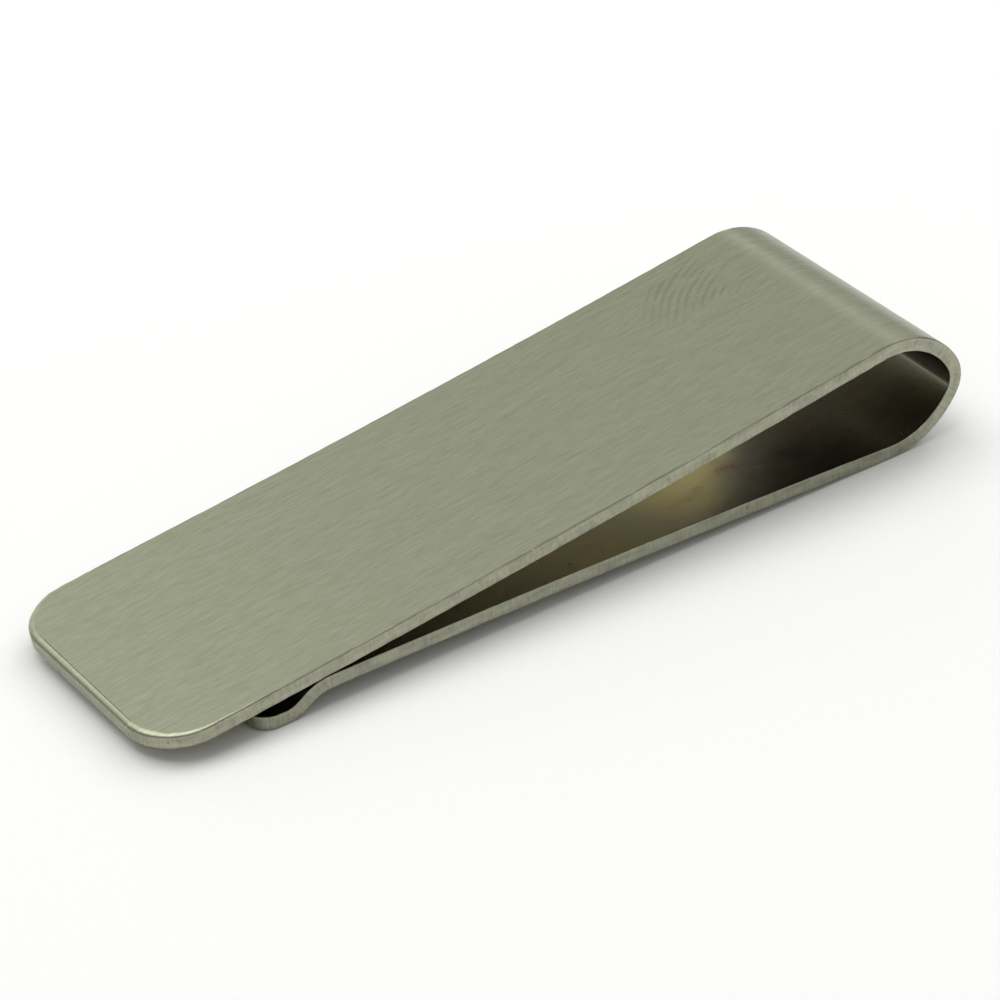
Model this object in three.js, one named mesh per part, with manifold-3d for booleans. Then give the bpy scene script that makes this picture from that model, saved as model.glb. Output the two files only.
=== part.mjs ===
// A spring-steel money clip: one strip, folded back on itself round a bow.
//
// The strip follows a route in the XZ plane, from the toe of its entry lip, along the back leaf,
// round the bow and out along the front leaf. Each zone of the route between two bend lines is a
// body of its own, so that the bow can flex on the lines between its zones.
//
// Millimetres and degrees. +X runs from the free end to the bow, +Z is up, and Y is across the
// strip. The clip lies on its heel and toe, with the origin under the middle of its length.

import * as THREE from 'three';
import { mergeVertices } from 'three/addons/utils/BufferGeometryUtils.js';
import Module from 'manifold-3d';

const wasm = await Module();
wasm.setup();

// Strip stock.
const STRIP_WIDTH = 15.5;
const STRIP_THICKNESS = 0.8;

// Front leaf: the long outer leaf, very slightly hollow along its length.
const FRONT_LEAF_LENGTH = 45.9;
const FRONT_LEAF_CURVE = 2.8;
const FREE_CORNER_RADIUS = 3.3;

// Bow: three bends in one sweep. Every bend radius here runs to the middle of the strip.
const SHOULDER_RADIUS = 4.63;
const SHOULDER_ANGLE = 71.5;
const NOSE_RADIUS = 1.7;
const NOSE_ANGLE = 59.5;
const HEEL_RADIUS = 4.87;

// Back leaf: the inner leaf, from the heel to the crest that grips.
const BACK_LEAF_LENGTH = 35.8;
const BACK_LEAF_CURVE = 2.46;

// Entry lip: a crest that bears on the front leaf, a ramp down from it, and a toe that runs out
// level.
const CREST_RADIUS = 2.42;
const CREST_ANGLE = 32.6;
const RAMP_LENGTH = 0.72;
const TOE_BEND_RADIUS = 1.56;
const TOE_BEND_ANGLE = 34.8;
const TOE_LENGTH = 1.63;
const TOE_CORNER_RADIUS = 1.2;

// Clearances: between two zones at a bend line, and between the closed crest and the front leaf.
const BEND_LINE_GAP = 0.3;
const CREST_GAP = 0.05;

// Where the two angles that are solved for must lie.
const HEEL_ANGLE_RANGE = [20, 120];
const LIE_ANGLE_RANGE = [-30, 30];

// Facets.
const DEGREES_PER_FACET = 2;
const LEAF_FACETS = 8;
const CORNER_FACETS = 16;
const WELD_DISTANCE = 1e-5;

const STEEL = { metalness: 1, roughness: 0.38 };
const COLOURS = {
  satin: 0xa8aa98,
  blued: 0x8f9294,
  sheared: 0x9a9b8e,
};

const { degToRad } = THREE.MathUtils;

// ---- The route -------------------------------------------------------------------------------

// A stretch of the route turns steadily to its left by `turn` over `length`.
function bend(zone, radius, turn) {
  const length = radius * degToRad(Math.abs(turn));
  return { zone, length, turn, facets: Math.ceil(Math.abs(turn) / DEGREES_PER_FACET) };
}

function run(zone, length, turn = 0) {
  return { zone, length, turn, facets: turn === 0 ? 1 : LEAF_FACETS };
}

function stretchesFor(heelAngle) {
  return [
    run('entry_lip', TOE_LENGTH),
    bend('entry_lip', TOE_BEND_RADIUS, TOE_BEND_ANGLE),
    run('entry_lip', RAMP_LENGTH),
    bend('grip_crest', CREST_RADIUS, -CREST_ANGLE),
    run('back_leaf', BACK_LEAF_LENGTH, -BACK_LEAF_CURVE),
    bend('bow_heel', HEEL_RADIUS, heelAngle),
    bend('bow_nose', NOSE_RADIUS, NOSE_ANGLE),
    bend('bow_shoulder', SHOULDER_RADIUS, SHOULDER_ANGLE),
    run('front_leaf', FRONT_LEAF_LENGTH, -FRONT_LEAF_CURVE),
  ];
}

// The station reached by going `distance` along a stretch from its first station.
function stationAt(first, stretch, distance) {
  const turned = degToRad(stretch.turn) * (distance / stretch.length);
  const middle = first.heading + turned / 2;
  const chord = turned === 0 ? distance : distance * Math.sin(turned / 2) / (turned / 2);
  return {
    x: first.x + chord * Math.cos(middle),
    z: first.z + chord * Math.sin(middle),
    heading: first.heading + turned,
  };
}

// Adds to each stretch the station that it starts from, the toe's being `start`.
function layRoute(stretches, start) {
  const laid = [];
  let first = start;
  for (const stretch of stretches) {
    laid.push({ ...stretch, first });
    first = stationAt(first, stretch, stretch.length);
  }
  return laid;
}

// Stations from `from` to `to` along one laid stretch.
function stationsOf(stretch, from = 0, to = stretch.length) {
  const stations = [];
  for (let i = 0; i <= stretch.facets; i += 1) {
    const distance = from + (to - from) * (i / stretch.facets);
    stations.push(stationAt(stretch.first, stretch, distance));
  }
  return stations;
}

// The point `offset` to the left of a station, which on the route is towards the inside.
function besideStation(station, offset) {
  const x = station.x - offset * Math.sin(station.heading);
  const z = station.z + offset * Math.cos(station.heading);
  return new THREE.Vector2(x, z);
}

function stationsOfAll(stretches) {
  return stretches.flatMap((stretch) => stationsOf(stretch));
}

function stationsOfZones(route, zones) {
  return stationsOfAll(route.filter((stretch) => zones.includes(stretch.zone)));
}

// The strip's under or outer face at some stations, and its upper or inner face.
function outsideOf(stations) {
  return stations.map((station) => besideStation(station, -STRIP_THICKNESS / 2));
}

function insideOf(stations) {
  return stations.map((station) => besideStation(station, STRIP_THICKNESS / 2));
}

// The value between `from` and `to` at which a rising `error` passes zero.
function solve([from, to], error) {
  const HALVINGS = 50;
  let low = from;
  let high = to;
  for (let i = 0; i < HALVINGS; i += 1) {
    const middle = (low + high) / 2;
    if (error(middle) > 0) {
      high = middle;
    } else {
      low = middle;
    }
  }
  return (low + high) / 2;
}

// How far the inner leaf's upper face stands off the front leaf's under face, negative where it is
// past it.
function crestClearance(route) {
  const inner = stationsOfZones(route, ['entry_lip', 'grip_crest', 'back_leaf']);
  const outer = stationsOfZones(route, ['front_leaf']);
  let clearance = Infinity;
  for (const { x, z } of inner) {
    for (let i = 1; i < outer.length; i += 1) {
      const a = outer[i - 1];
      const b = outer[i];
      const along = (x - a.x) * (b.x - a.x) + (z - a.z) * (b.z - a.z);
      const across = (b.x - a.x) * (z - a.z) - (b.z - a.z) * (x - a.x);
      const chord = Math.hypot(b.x - a.x, b.z - a.z);
      if (along >= 0 && along <= chord * chord) {
        clearance = Math.min(clearance, across / chord - STRIP_THICKNESS);
      }
    }
  }
  return clearance;
}

// Lowest point of the strip's under face over some zones.
function lowestOf(route, zones) {
  return Math.min(...outsideOf(stationsOfZones(route, zones)).map((point) => point.y));
}

// The heel closes the clip: its bend is as far as it takes to bring the crest up to the front leaf.
const AT_ORIGIN = { x: 0, z: 0, heading: 0 };
const HEEL_ANGLE = solve(HEEL_ANGLE_RANGE, (angle) => {
  const trial = layRoute(stretchesFor(angle), AT_ORIGIN);
  return CREST_GAP - crestClearance(trial);
});
const STRETCHES = stretchesFor(HEEL_ANGLE);

// The clip lies on its toe and its heel.
const LIE_ANGLE = solve(LIE_ANGLE_RANGE.map(degToRad), (heading) => {
  const trial = layRoute(STRETCHES, { ...AT_ORIGIN, heading });
  return lowestOf(trial, ['bow_heel', 'back_leaf']) - lowestOf(trial, ['entry_lip']);
});

function routeOnSurface() {
  const stations = stationsOfAll(layRoute(STRETCHES, { ...AT_ORIGIN, heading: LIE_ANGLE }));
  const box = new THREE.Box2().setFromPoints([...outsideOf(stations), ...insideOf(stations)]);
  const middle = (box.min.x + box.max.x) / 2;
  return layRoute(STRETCHES, { x: -middle, z: -box.min.y, heading: LIE_ANGLE });
}

// ---- The solids ------------------------------------------------------------------------------

// The strip's section in one zone, held back from the bend line at each end that has a neighbour.
function zoneOutline(route, zone) {
  const stretches = route.filter((stretch) => stretch.zone === zone);
  const stations = stretches.flatMap((stretch, i) => {
    const meetsBefore = i === 0 && stretch !== route[0];
    const meetsAfter = i === stretches.length - 1 && stretch !== route[route.length - 1];
    const from = meetsBefore ? BEND_LINE_GAP / 2 : 0;
    const to = stretch.length - (meetsAfter ? BEND_LINE_GAP / 2 : 0);
    return stationsOf(stretch, from, to).slice(i === 0 ? 0 : 1);
  });
  return new THREE.Shape([...outsideOf(stations), ...insideOf(stations).reverse()]);
}

function zoneGeometry(route, zone) {
  const extrusion = { depth: STRIP_WIDTH, bevelEnabled: false };
  const geometry = new THREE.ExtrudeGeometry(zoneOutline(route, zone), extrusion);
  geometry.rotateX(Math.PI / 2);
  geometry.translate(0, STRIP_WIDTH / 2, 0);
  return geometry;
}

function toSolid(geometry) {
  const bare = geometry.clone();
  bare.deleteAttribute('normal');
  bare.deleteAttribute('uv');
  const merged = mergeVertices(bare, WELD_DISTANCE);
  const mesh = new wasm.Mesh({
    numProp: 3,
    vertProperties: new Float32Array(merged.attributes.position.array),
    triVerts: new Uint32Array(merged.index.array),
  });
  return new wasm.Manifold(mesh);
}

function toGeometry(solid) {
  const mesh = solid.getMesh();
  const geometry = new THREE.BufferGeometry();
  geometry.setAttribute('position', new THREE.BufferAttribute(mesh.vertProperties, 3));
  geometry.setIndex(new THREE.BufferAttribute(mesh.triVerts, 1));
  return geometry;
}

// The blank's outline at a cut end, as a prism through the strip: `end` is the middle of the cut
// edge, `inward` is the heading away from it, and the two corners are rounded.
function blankPrism(end, inward, length, cornerRadius) {
  const half = STRIP_WIDTH / 2;
  const outline = new THREE.Shape();
  outline.moveTo(length, -half);
  outline.lineTo(length, half);
  outline.lineTo(cornerRadius, half);
  outline.absarc(cornerRadius, half - cornerRadius, cornerRadius, Math.PI / 2, Math.PI, false);
  outline.absarc(cornerRadius, cornerRadius - half, cornerRadius, Math.PI, Math.PI * 1.5, false);
  outline.closePath();
  const extrusion = { depth: length, bevelEnabled: false, curveSegments: CORNER_FACETS };
  const prism = new THREE.ExtrudeGeometry(outline, extrusion);
  prism.translate(0, 0, -length / 2);
  const along = new THREE.Vector3(Math.cos(inward), 0, Math.sin(inward));
  const across = new THREE.Vector3(0, 1, 0);
  const frame = new THREE.Matrix4().makeBasis(along, across, along.clone().cross(across));
  frame.setPosition(end.x, 0, end.z);
  return prism.applyMatrix4(frame);
}

function roundedEnd(route, zone, end, inward, length, cornerRadius) {
  const blank = toSolid(blankPrism(end, inward, length, cornerRadius));
  return toGeometry(toSolid(zoneGeometry(route, zone)).intersect(blank));
}

function frontLeaf(route) {
  const stretch = route[route.length - 1];
  const end = stationAt(stretch.first, stretch, stretch.length);
  const coverLength = FRONT_LEAF_LENGTH + STRIP_WIDTH;
  return roundedEnd(route, 'front_leaf', end, end.heading + Math.PI, coverLength, FREE_CORNER_RADIUS);
}

function entryLip(route) {
  const end = route[0].first;
  return roundedEnd(route, 'entry_lip', end, end.heading, STRIP_WIDTH, TOE_CORNER_RADIUS);
}

// ---- The clip --------------------------------------------------------------------------------

function steelMesh(name, geometry, color) {
  const mesh = new THREE.Mesh(geometry, new THREE.MeshStandardMaterial({ ...STEEL, color }));
  mesh.name = name;
  return mesh;
}

const clipRoute = routeOnSurface();
const clip = new THREE.Group();
clip.name = 'money_clip';
clip.add(steelMesh('front_leaf', frontLeaf(clipRoute), COLOURS.satin));
clip.add(steelMesh('bow_shoulder', zoneGeometry(clipRoute, 'bow_shoulder'), COLOURS.blued));
clip.add(steelMesh('bow_nose', zoneGeometry(clipRoute, 'bow_nose'), COLOURS.blued));
clip.add(steelMesh('bow_heel', zoneGeometry(clipRoute, 'bow_heel'), COLOURS.blued));
clip.add(steelMesh('back_leaf', zoneGeometry(clipRoute, 'back_leaf'), COLOURS.sheared));
clip.add(steelMesh('grip_crest', zoneGeometry(clipRoute, 'grip_crest'), COLOURS.sheared));
clip.add(steelMesh('entry_lip', entryLip(clipRoute), COLOURS.sheared));

export default clip;
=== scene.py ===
"""A money clip bent from one strip of stainless steel, on a pale floor in soft studio light.

Everything is in metres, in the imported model's frame: +X runs from the free end to the bow, +Y
across the strip, +Z up, and the clip lies on its heel and toe. The strip is first laid out flat,
as the press would have it, and then bent along its route.
"""
import logging
import math
from collections.abc import Mapping, Sequence
from dataclasses import dataclass, field
from enum import Enum

import bmesh
import bpy
import numpy as np
from mathutils import Matrix, Vector


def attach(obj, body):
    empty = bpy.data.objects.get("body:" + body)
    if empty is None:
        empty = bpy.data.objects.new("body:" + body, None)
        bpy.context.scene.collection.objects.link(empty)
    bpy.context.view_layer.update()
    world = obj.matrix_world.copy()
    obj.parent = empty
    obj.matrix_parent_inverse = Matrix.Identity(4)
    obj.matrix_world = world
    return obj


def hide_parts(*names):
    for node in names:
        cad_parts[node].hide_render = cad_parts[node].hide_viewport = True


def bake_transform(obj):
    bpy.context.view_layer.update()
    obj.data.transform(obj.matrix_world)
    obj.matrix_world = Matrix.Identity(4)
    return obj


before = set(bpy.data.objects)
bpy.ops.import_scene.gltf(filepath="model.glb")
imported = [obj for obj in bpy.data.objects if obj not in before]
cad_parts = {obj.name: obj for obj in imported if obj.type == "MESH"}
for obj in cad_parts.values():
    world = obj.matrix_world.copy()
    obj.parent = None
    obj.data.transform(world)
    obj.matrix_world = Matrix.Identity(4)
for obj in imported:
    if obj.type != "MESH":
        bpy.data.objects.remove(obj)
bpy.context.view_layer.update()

LOG = logging.getLogger("money_clip")

MM = 0.001
FRONT_HALF = "front_half"
BACK_HALF = "back_half"

# Attributes that the flat blank carries to the bent strip and its finishes.
FACE_KIND = "face_kind"
BURR_RATE = "burr_rate"
FLAT_PLACE = "flat_place"
GRAIN_MAP = "grain"
# The grain map counts in tenths of a metre, so that the whole strip fits in one tile.
GRAIN_MAP_SCALE = 10.0


class StripFace(Enum):
    """The kinds of surface on the strip, which each take a finish of their own."""

    OUTSIDE = 0
    EDGE = 1
    INSIDE = 2
    BURR = 3


class Side(Enum):
    """The two long edges of the strip, by the sign of Y."""

    NEAR = -1
    FAR = 1


# ---- Small tools -------------------------------------------------------------------------------


def linear(hex_colour: str) -> tuple[float, float, float, float]:
    """Turns an sRGB hex colour into the linear colour that a shader takes.

    Args:
        hex_colour: A colour such as "#D0D3B9".

    Returns:
        Red, green, blue and an alpha of one.
    """
    parts = [int(hex_colour[i:i + 2], 16) / 255 for i in (1, 3, 5)]
    red, green, blue = (p / 12.92 if p <= 0.04045 else ((p + 0.055) / 1.055) ** 2.4 for p in parts)
    return red, green, blue, 1.0


def add_node(
    tree: bpy.types.NodeTree,
    kind: str,
    inputs: Mapping[str | int, object] | None = None,
    **settings: object,
) -> bpy.types.Node:
    """Adds one node to a tree, with its settings, values and links.

    Args:
        tree: The tree that takes the node.
        kind: The node's type name.
        inputs: A value or another node's output for each input, by name or number.
        settings: Properties of the node itself, such as its operation.

    Returns:
        The new node.
    """
    node = tree.nodes.new(kind)
    for name, value in settings.items():
        setattr(node, name, value)
    for key, value in (inputs or {}).items():
        if isinstance(value, bpy.types.NodeSocket):
            tree.links.new(value, node.inputs[key])
        else:
            node.inputs[key].default_value = value
    return node


class EdgeNoise:
    """Seeded roughness along an edge, the same on each run."""

    def __init__(self, seed: int) -> None:
        """Starts the draws from a seed."""
        self.draws = np.random.RandomState(seed)

    def along(self, distances: np.ndarray, wavelength: float) -> np.ndarray:
        """Draws a smooth random line over some distances.

        Args:
            distances: Distances along the edge, in metres.
            wavelength: The size of one bump, in metres.

        Returns:
            One value between -1 and 1 for each distance.
        """
        steps = (distances - distances.min()) / wavelength
        knots = self.draws.uniform(-1.0, 1.0, int(steps.max()) + 3)
        whole = np.floor(steps).astype(int)
        part = steps - whole
        ease = part * part * (3 - 2 * part)
        return knots[whole] * (1 - ease) + knots[whole + 1] * ease


# ---- The route ---------------------------------------------------------------------------------


@dataclass(frozen=True)
class Stretch:
    """A stretch of the strip that has one curvature: its length and its turn to the left."""

    name: str
    length: float
    turn: float


@dataclass(frozen=True)
class Route:
    """The middle line of the strip, from the toe, round the bow and out to the free end."""

    start: tuple[float, float] = (-19.749 * MM, 0.474 * MM)
    heading: float = -2.5585
    pitch: float = 0.04 * MM
    stretches: tuple[Stretch, ...] = (
        Stretch("toe", 1.63 * MM, 0.0),
        Stretch("toe_bend", 0.9475 * MM, 34.8),
        Stretch("ramp", 0.72 * MM, 0.0),
        Stretch("crest", 1.3769 * MM, -32.6),
        Stretch("back_leaf", 35.8 * MM, -2.46),
        Stretch("heel", 5.1196 * MM, 60.2325),
        Stretch("nose", 1.7654 * MM, 59.5),
        Stretch("shoulder", 5.7778 * MM, 71.5),
        Stretch("front_leaf", 45.9 * MM, -2.8),
    )

    def begins(self, name: str) -> float:
        """Gives the distance from the toe at which a stretch begins."""
        names = [stretch.name for stretch in self.stretches]
        return sum(stretch.length for stretch in self.stretches[:names.index(name)])

    @property
    def length(self) -> float:
        """The whole length of the strip."""
        return sum(stretch.length for stretch in self.stretches)

    def curvature(self, distance: float) -> float:
        """Gives how sharply the strip bends at a distance from the toe, in radians per metre."""
        left = distance
        for stretch in self.stretches:
            if left <= stretch.length:
                return math.radians(abs(stretch.turn)) / stretch.length
            left -= stretch.length
        return 0.0

    def station(self, distance: float) -> tuple[float, float, float]:
        """Follows the route to a distance from the toe.

        Args:
            distance: Metres along the middle line.

        Returns:
            X and Z of the middle line there, and its heading in radians.
        """
        x, z = self.start
        heading = math.radians(self.heading)
        left = distance
        for stretch in self.stretches:
            gone = min(left, stretch.length)
            turned = math.radians(stretch.turn) * gone / stretch.length
            half = turned / 2
            chord = gone * (math.sin(half) / half if half else 1.0)
            x += chord * math.cos(heading + half)
            z += chord * math.sin(heading + half)
            heading += turned
            left -= gone
            if left <= 0:
                break
        return x, z, heading

    def place(self, distance: float, across: float, out: float) -> Vector:
        """Gives the bent place of a point on the flat blank.

        Args:
            distance: Metres from the toe.
            across: Metres across the strip.
            out: Metres from the middle line towards the inside of the clip.

        Returns:
            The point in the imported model's frame.
        """
        x, z, heading = self.station(distance)
        return Vector((x - out * math.sin(heading), across, z + out * math.cos(heading)))

    def curve(self) -> bpy.types.Object:
        """Draws the route as a fine line for the bending tree, which is taken away afterwards."""
        count = math.ceil(self.length / self.pitch) + 1
        data = bpy.data.curves.new("route_line", "CURVE")
        data.dimensions = "3D"
        spline = data.splines.new("POLY")
        spline.points.add(count - 1)
        for point, distance in zip(spline.points, np.linspace(0, self.length, count)):
            x, z, _ = self.station(float(distance))
            point.co = (x, 0.0, z, 1.0)
        line = bpy.data.objects.new("route_line", data)
        bpy.context.scene.collection.objects.link(line)
        return line


# ---- The flat blank ----------------------------------------------------------------------------


@dataclass(frozen=True)
class Arris:
    """How a sheared corner is rounded over: how far in from the edge, and how deep."""

    inset: float
    depth: float


@dataclass(frozen=True)
class FlatBlank:
    """A length of flat strip, with rounded corners where it ends and square where it goes on.

    It is laid out with X along the route, Y across and Z towards the inside of the clip. Rows
    of points run round its edge, and the two broad faces are ladders between its long edges.
    """

    name: str
    seam: float
    end: float
    corner: float = 0.0
    seed: int = 1
    width: float = 15.5 * MM
    thickness: float = 0.8 * MM
    side_arris: Arris = Arris(0.085 * MM, 0.075 * MM)
    end_arris: Arris = Arris(0.085 * MM, 0.075 * MM)
    back_arris: Arris = Arris(0.05 * MM, 0.05 * MM)
    end_fade: float = 5.0 * MM
    end_share: float = 0.55
    ragged: float = 0.3
    ragged_waves: tuple[float, float] = (0.55 * MM, 0.2 * MM)
    back_ragged: float = 0.48
    back_wave: float = 0.35 * MM
    wall_depth: float = 0.012 * MM
    wall_wave: float = 0.24 * MM
    burrs_per_mm2: float = 26.0
    burr_waves: tuple[float, float] = (2.6 * MM, 0.8 * MM)
    arris_steps: int = 6
    wall_steps: int = 5
    back_steps: int = 4
    flat_rim: float = 0.04 * MM
    row_turn: float = math.radians(1.6)
    row_pitch: float = 0.16 * MM
    seam_pitch: float = 0.02 * MM
    pitch_growth: float = 0.25
    corner_steps: int = 44

    def rows(self, route: Route) -> np.ndarray:
        """Spaces the rows of the straight edge, closer in the bends and next to a square cut.

        Args:
            route: The route that the blank will be bent along.

        Returns:
            Distances from the toe, from the seam to the free end or the other seam.
        """
        reach = abs(self.end - self.seam) - self.corner
        way = 1.0 if self.end > self.seam else -1.0
        gone = [0.0]
        while gone[-1] < reach:
            here = gone[-1]
            bend = route.curvature(self.seam + way * here)
            step = min(self.row_pitch, self.row_turn / bend if bend else self.row_pitch)
            step = min(step, self.seam_pitch + self.pitch_growth * here)
            if not self.corner:
                step = min(step, self.seam_pitch + self.pitch_growth * max(reach - here, 0.0))
            gone.append(here + step)
        spaced = np.array(gone) * (reach / gone[-1])
        return self.seam + way * spaced

    def outline(self, route: Route) -> tuple[np.ndarray, np.ndarray, np.ndarray]:
        """Walks one long edge from the seam to the middle of the end.

        Args:
            route: The route that the blank will be bent along.

        Returns:
            For each row: its place along the strip and its distance from the middle; the
            direction that leads in from the edge; and how much of it belongs to the end.
        """
        rows = self.rows(route)
        half = self.width / 2
        points = np.column_stack((rows, np.full(len(rows), half)))
        inward = np.tile((0.0, -1.0), (len(rows), 1))
        if not self.corner:
            return points, inward, np.zeros(len(rows))
        way = 1.0 if self.end > self.seam else -1.0
        angles = np.linspace(0, math.pi / 2, self.corner_steps + 1)[1:]
        spokes = np.column_stack((way * np.sin(angles), np.cos(angles)))
        middle = np.array((self.end - way * self.corner, half - self.corner))
        points = np.vstack((points, middle + self.corner * spokes))
        inward = np.vstack((inward, -spokes))
        to_corner = np.abs(middle[0] - rows)
        near_end = np.clip(1 - to_corner / self.end_fade, 0, 1)
        on_corner = self.end_share + (1 - self.end_share) * np.sin(angles)
        share = np.concatenate((near_end ** 2 * self.end_share, on_corner))
        return points, inward, share

    def sections(self, share: np.ndarray, along: np.ndarray, noise: EdgeNoise) -> np.ndarray:
        """Shapes the edge at each row, from the outside face round to the inside face.

        Args:
            share: How much of each row belongs to the end.
            along: Distance of each row along the edge.
            noise: Where the roughness comes from.

        Returns:
            For each row and each point of its section: how far in it is, and its height.
        """
        half = self.thickness / 2
        broad, fine = (noise.along(along, wave) for wave in self.ragged_waves)
        ragged = 0.6 * broad + 0.4 * fine
        grown = 1 + self.ragged * ragged
        inset = (self.side_arris.inset * (1 - share) + self.end_arris.inset * share) * grown
        depth = (self.side_arris.depth * (1 - share) + self.end_arris.depth * share) * grown
        back = 1 + self.back_ragged * noise.along(along, self.back_wave)
        back_inset, back_depth = self.back_arris.inset * back, self.back_arris.depth * back
        bulge = self.wall_depth * (1 + noise.along(along, self.wall_wave))
        columns = [(inset + self.flat_rim, np.full_like(inset, -half))]
        for angle in np.linspace(0, math.pi / 2, self.arris_steps + 1):
            columns.append((inset * (1 - math.sin(angle)), -half + depth * (1 - math.cos(angle))))
        for step in np.arange(1, self.wall_steps) / self.wall_steps:
            height = (-half + depth) * (1 - step) + (half - back_depth) * step
            columns.append((bulge * math.sin(math.pi * step), height))
        for angle in np.linspace(0, math.pi / 2, self.back_steps + 1):
            height = half - back_depth * (1 - math.sin(angle))
            columns.append((back_inset * (1 - math.cos(angle)), height))
        columns.append((back_inset + self.flat_rim, np.full_like(inset, half)))
        return np.array(columns).transpose(2, 0, 1)

    def face_kinds(self) -> list[StripFace]:
        """Names the finish of each band of faces round the edge."""
        return (
            [StripFace.OUTSIDE] * (self.arris_steps - 1)
            + [StripFace.EDGE] * (2 + self.wall_steps + self.back_steps - 1)
            + [StripFace.INSIDE] * 2
        )

    def burr_bands(self) -> list[float]:
        """Gives how many burrs each band of faces round the edge takes, as a share of the most."""
        bands = [0.0] * len(self.face_kinds())
        first_wall = 1 + self.arris_steps
        bands[first_wall - 3:first_wall] = (0.5, 1.0, 0.7)
        bands[first_wall + self.wall_steps] = 0.5
        return bands

    def mesh(self, route: Route) -> bpy.types.Mesh:
        """Lays the blank out flat as a closed mesh.

        Args:
            route: The route that the blank will be bent along.

        Returns:
            The mesh, with each face's kind and its share of burrs.
        """
        points, inward, share = self.outline(route)
        steps = np.linalg.norm(np.diff(points, axis=0), axis=1)
        along = np.concatenate(((0.0,), np.cumsum(steps)))
        noise = EdgeNoise(self.seed)
        coords, clusters = [], []
        for side in (Side.NEAR, Side.FAR):
            section = self.sections(share, along, noise)
            flat = points[:, None, :] + section[:, :, :1] * inward[:, None, :]
            coords.append(np.dstack((flat[:, :, 0], side.value * flat[:, :, 1], section[:, :, 1])))
            broad, fine = (noise.along(along, wave) for wave in self.burr_waves)
            patchy = broad + 0.6 * fine
            clusters.append(np.clip(patchy + 0.1, 0, 1))
        rows, ring = coords[0].shape[:2]

        def vertex(side: int, row: int, column: int) -> int:
            """Numbers a vertex by its side, row and column."""
            return (side * rows + row) * ring + column

        faces, face_kinds, rates = [], [], []

        def add_face(kind: StripFace, corners: list[int], rate: float = 0.0) -> None:
            """Adds a face with its kind and its share of burrs."""
            faces.append(corners)
            face_kinds.append(kind.value)
            rates.append(rate)

        kinds, bands = self.face_kinds(), self.burr_bands()
        last = rows - 1
        for side in (0, 1):
            for row in range(last):
                for column, (kind, band) in enumerate(zip(kinds, bands)):
                    add_face(kind, [
                        vertex(side, row, column), vertex(side, row + 1, column),
                        vertex(side, row + 1, column + 1), vertex(side, row, column + 1),
                    ], band * clusters[side][row])
        for column, kind in ((0, StripFace.OUTSIDE), (ring - 1, StripFace.INSIDE)):
            for row in range(last):
                add_face(kind, [vertex(0, row, column), vertex(0, row + 1, column),
                                vertex(1, row + 1, column), vertex(1, row, column)])
        if self.corner:
            for column, kind in enumerate(kinds):
                add_face(kind, [vertex(0, last, column), vertex(1, last, column),
                                vertex(1, last, column + 1), vertex(0, last, column + 1)])
        caps = [0] if self.corner else [0, last]
        for row in caps:
            around = [vertex(0, row, column) for column in range(ring)]
            around += [vertex(1, row, column) for column in reversed(range(ring))]
            add_face(StripFace.EDGE, around)

        mesh = bpy.data.meshes.new(self.name)
        mesh.from_pydata(np.concatenate([c.reshape(-1, 3) for c in coords]).tolist(), [], faces)
        kind_data = mesh.attributes.new(FACE_KIND, "INT", "FACE")
        kind_data.data.foreach_set("value", face_kinds)
        rate_data = mesh.attributes.new(BURR_RATE, "FLOAT", "FACE")
        per_m2 = self.burrs_per_mm2 / MM ** 2
        rate_data.data.foreach_set("value", [rate * per_m2 for rate in rates])
        self.turn_outwards(mesh, len(caps))
        return mesh

    def turn_outwards(self, mesh: bpy.types.Mesh, cap_count: int) -> None:
        """Points the closed blank's faces outwards, smooth but for the square cuts.

        Args:
            mesh: The blank.
            cap_count: How many of its last faces are square cuts.
        """
        shell = bmesh.new()
        shell.from_mesh(mesh)
        bmesh.ops.recalc_face_normals(shell, faces=shell.faces)
        shell.faces.ensure_lookup_table()
        for face in shell.faces:
            face.smooth = True
        for face in shell.faces[-cap_count:]:
            face.smooth = False
            for edge in face.edges:
                edge.smooth = False
        shell.to_mesh(mesh)
        shell.free()


# ---- Bending -----------------------------------------------------------------------------------


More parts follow.
